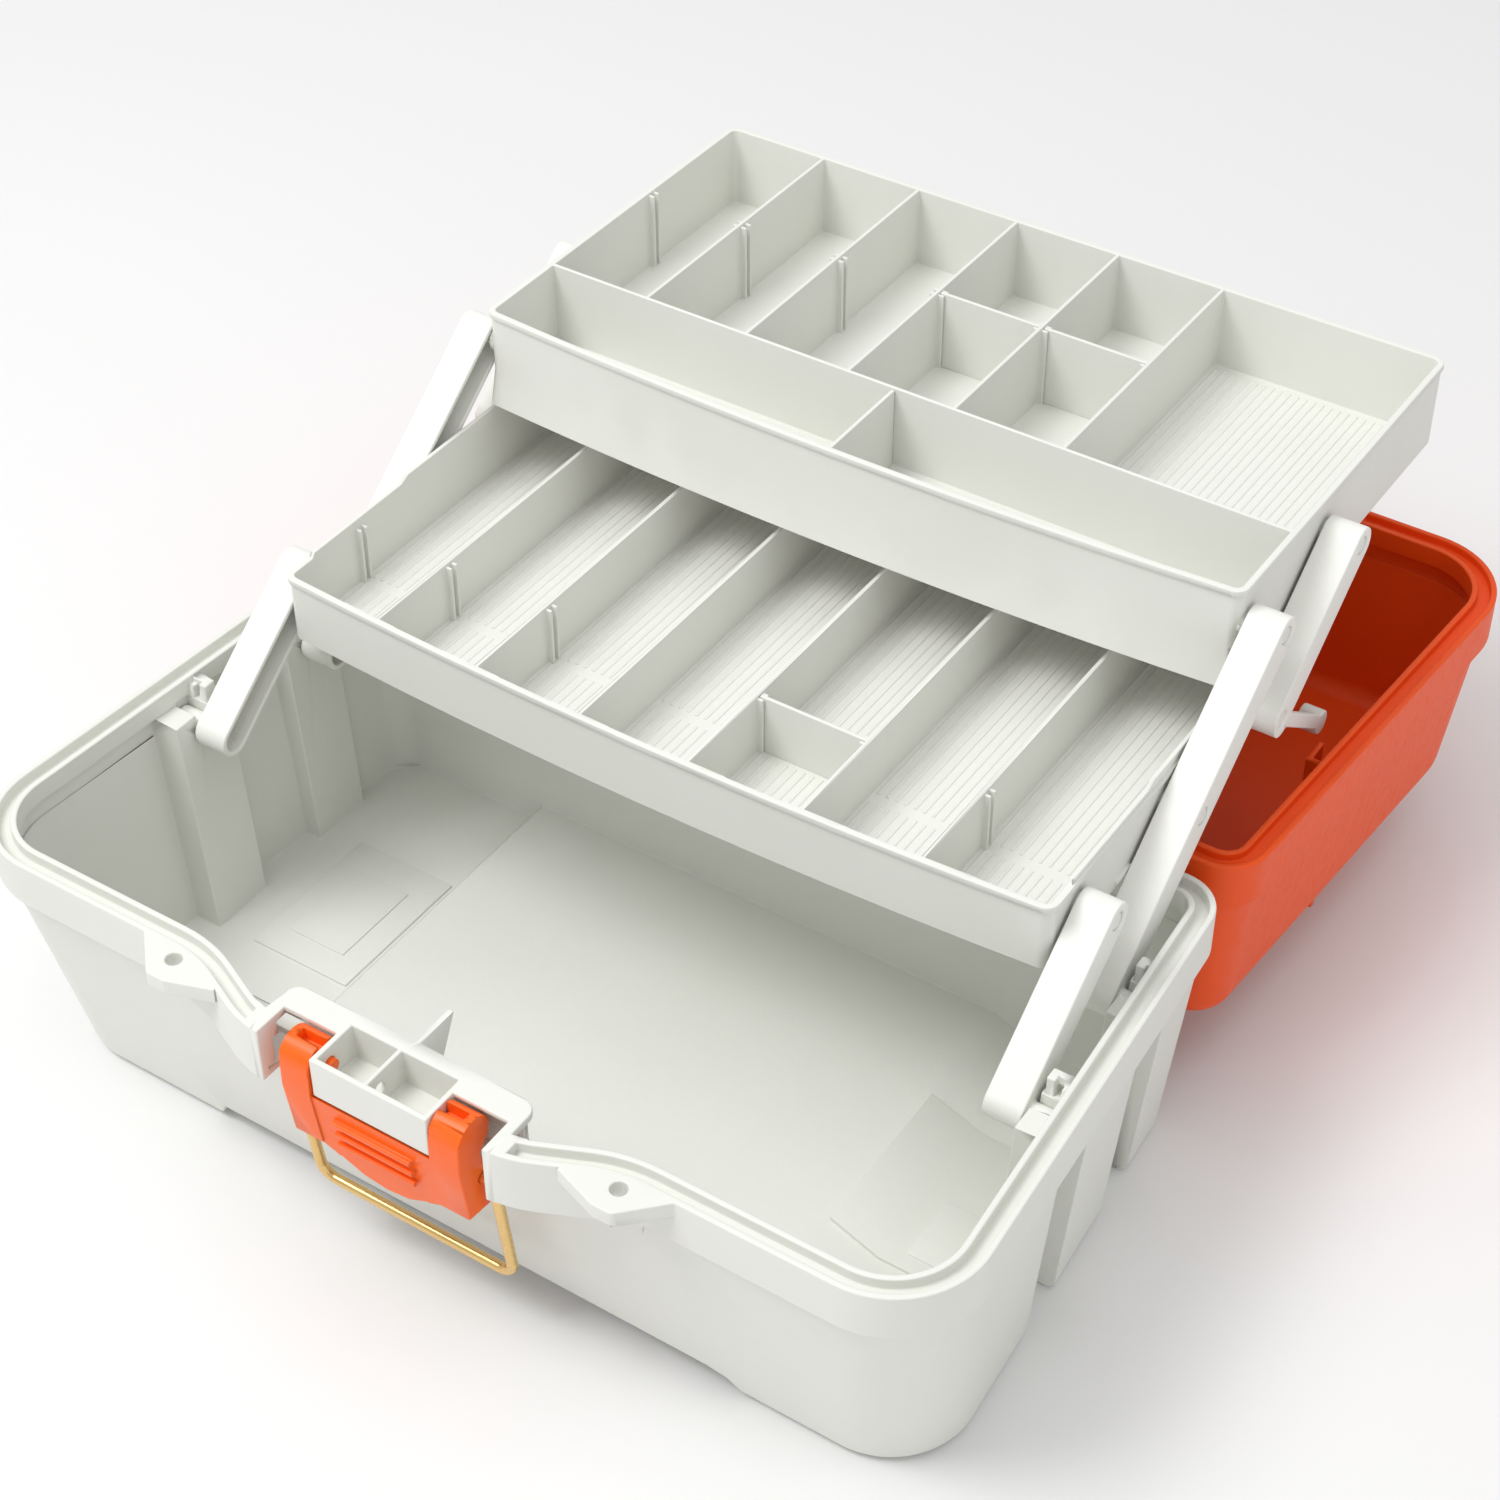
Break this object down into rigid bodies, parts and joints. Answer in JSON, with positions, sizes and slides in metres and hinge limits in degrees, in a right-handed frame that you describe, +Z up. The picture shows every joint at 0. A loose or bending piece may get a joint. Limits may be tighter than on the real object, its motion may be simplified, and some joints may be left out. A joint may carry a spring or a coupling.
{
  "type": "fishing tackle box",
  "caption": "Fishing tackle box standing open: moulded tub, hinged lid, folding divided trays on parallel links, and a latch with a wire bail.",
  "frame": {"origin": "on the ground under the middle of the open box, halfway between the latch and the far edge of the open lid", "axes": "+X along the box to the right as seen from the front, +Y to the back, +Z up"},
  "size_m": [0.379, 0.4462, 0.184],
  "materials": {
    "tub_plastic": "light warm grey moulded plastic, satin, with a fine grain",
    "tray_plastic": "light warm grey moulded plastic, satin",
    "arm_plastic": "light grey moulded plastic, satin",
    "lid_plastic": "orange moulded plastic, satin",
    "latch_plastic": "bright orange moulded plastic",
    "handle_plastic": "light warm grey moulded plastic",
    "brass_wire": "bright brass wire",
    "steel_pin": "plain steel wire"
  },
  "bodies": {
    "base": {"base_tub": "tub_plastic", "hinge_pin_left": "steel_pin", "hinge_pin_right": "steel_pin"},
    "lid": {"lid_shell": "lid_plastic"},
    "handle": {"carry_handle": "handle_plastic"},
    "long_arm_left": {"long_arm_left": "arm_plastic"},
    "long_arm_right": {"long_arm_right": "arm_plastic"},
    "lower_tray": {"lower_tray": "tray_plastic", "lower_divider_1": "tray_plastic"},
    "upper_tray": {"upper_tray": "tray_plastic", "upper_divider_1": "tray_plastic", "upper_divider_2": "tray_plastic", "upper_divider_3": "tray_plastic"},
    "front_arm_left": {"front_arm_left": "arm_plastic"},
    "front_arm_right": {"front_arm_right": "arm_plastic"},
    "upper_arm_left": {"upper_arm_left": "arm_plastic"},
    "upper_arm_right": {"upper_arm_right": "arm_plastic"},
    "lever": {"latch_lever": "latch_plastic"},
    "bail": {"latch_bail": "brass_wire"}
  },
  "joints": [
    {"name": "tray_fold", "type": "hinge", "parent": "base", "child": "long_arm_left", "pos_m": [-0.1579, -0.0503, 0.0894], "axis": [1, 0, 0], "range_deg": [0, 109]},
    {"name": "lower_tray_level", "type": "hinge", "parent": "long_arm_left", "child": "lower_tray", "pos_m": [-0.1579, -0.00021, 0.12924], "axis": [1, 0, 0], "range_deg": [-109, 0]},
    {"name": "upper_tray_level", "type": "hinge", "parent": "long_arm_left", "child": "upper_tray", "pos_m": [-0.1579, 0.04987, 0.16908], "axis": [1, 0, 0], "range_deg": [-109, 0]},
    {"name": "long_arm_right_swing", "type": "hinge", "parent": "base", "child": "long_arm_right", "pos_m": [0.1579, -0.0503, 0.0894], "axis": [1, 0, 0], "range_deg": [0, 109]},
    {"name": "front_arm_left_swing", "type": "hinge", "parent": "base", "child": "front_arm_left", "pos_m": [-0.1579, -0.1073, 0.0894], "axis": [1, 0, 0], "range_deg": [0, 109]},
    {"name": "front_arm_right_swing", "type": "hinge", "parent": "base", "child": "front_arm_right", "pos_m": [0.1579, -0.1073, 0.0894], "axis": [1, 0, 0], "range_deg": [0, 109]},
    {"name": "upper_arm_left_swing", "type": "hinge", "parent": "lower_tray", "child": "upper_arm_left", "pos_m": [-0.1579, 0.05679, 0.12924], "axis": [1, 0, 0], "range_deg": [0, 109]},
    {"name": "upper_arm_right_swing", "type": "hinge", "parent": "lower_tray", "child": "upper_arm_right", "pos_m": [0.1579, 0.05679, 0.12924], "axis": [1, 0, 0], "range_deg": [0, 109]},
    {"name": "lid_hinge", "type": "hinge", "parent": "base", "child": "lid", "pos_m": [0, 0.0025, 0.104], "axis": [1, 0, 0], "range_deg": [0, 125.8]},
    {"name": "handle_hinge", "type": "hinge", "parent": "lid", "child": "handle", "pos_m": [0, 0.097, 0.0259], "axis": [-1, 0, 0], "range_deg": [0, 95]},
    {"name": "latch_hinge", "type": "hinge", "parent": "base", "child": "lever", "pos_m": [0, -0.2135, 0.097], "axis": [-1, 0, 0], "range_deg": [0, 75]},
    {"name": "bail_hinge", "type": "hinge", "parent": "lever", "child": "bail", "pos_m": [0, -0.211, 0.0775], "axis": [-1, 0, 0], "range_deg": [0, 165]}
  ],
  "couplings": [
    {"joint": "lower_tray_level", "follows": "tray_fold", "ratio": -1},
    {"joint": "upper_tray_level", "follows": "tray_fold", "ratio": -1},
    {"joint": "long_arm_right_swing", "follows": "tray_fold", "ratio": 1},
    {"joint": "front_arm_left_swing", "follows": "tray_fold", "ratio": 1},
    {"joint": "front_arm_right_swing", "follows": "tray_fold", "ratio": 1},
    {"joint": "upper_arm_left_swing", "follows": "tray_fold", "ratio": 1},
    {"joint": "upper_arm_right_swing", "follows": "tray_fold", "ratio": 1},
    {"joint": "lid_hinge", "follows": "tray_fold", "ratio": 1.15}
  ]
}
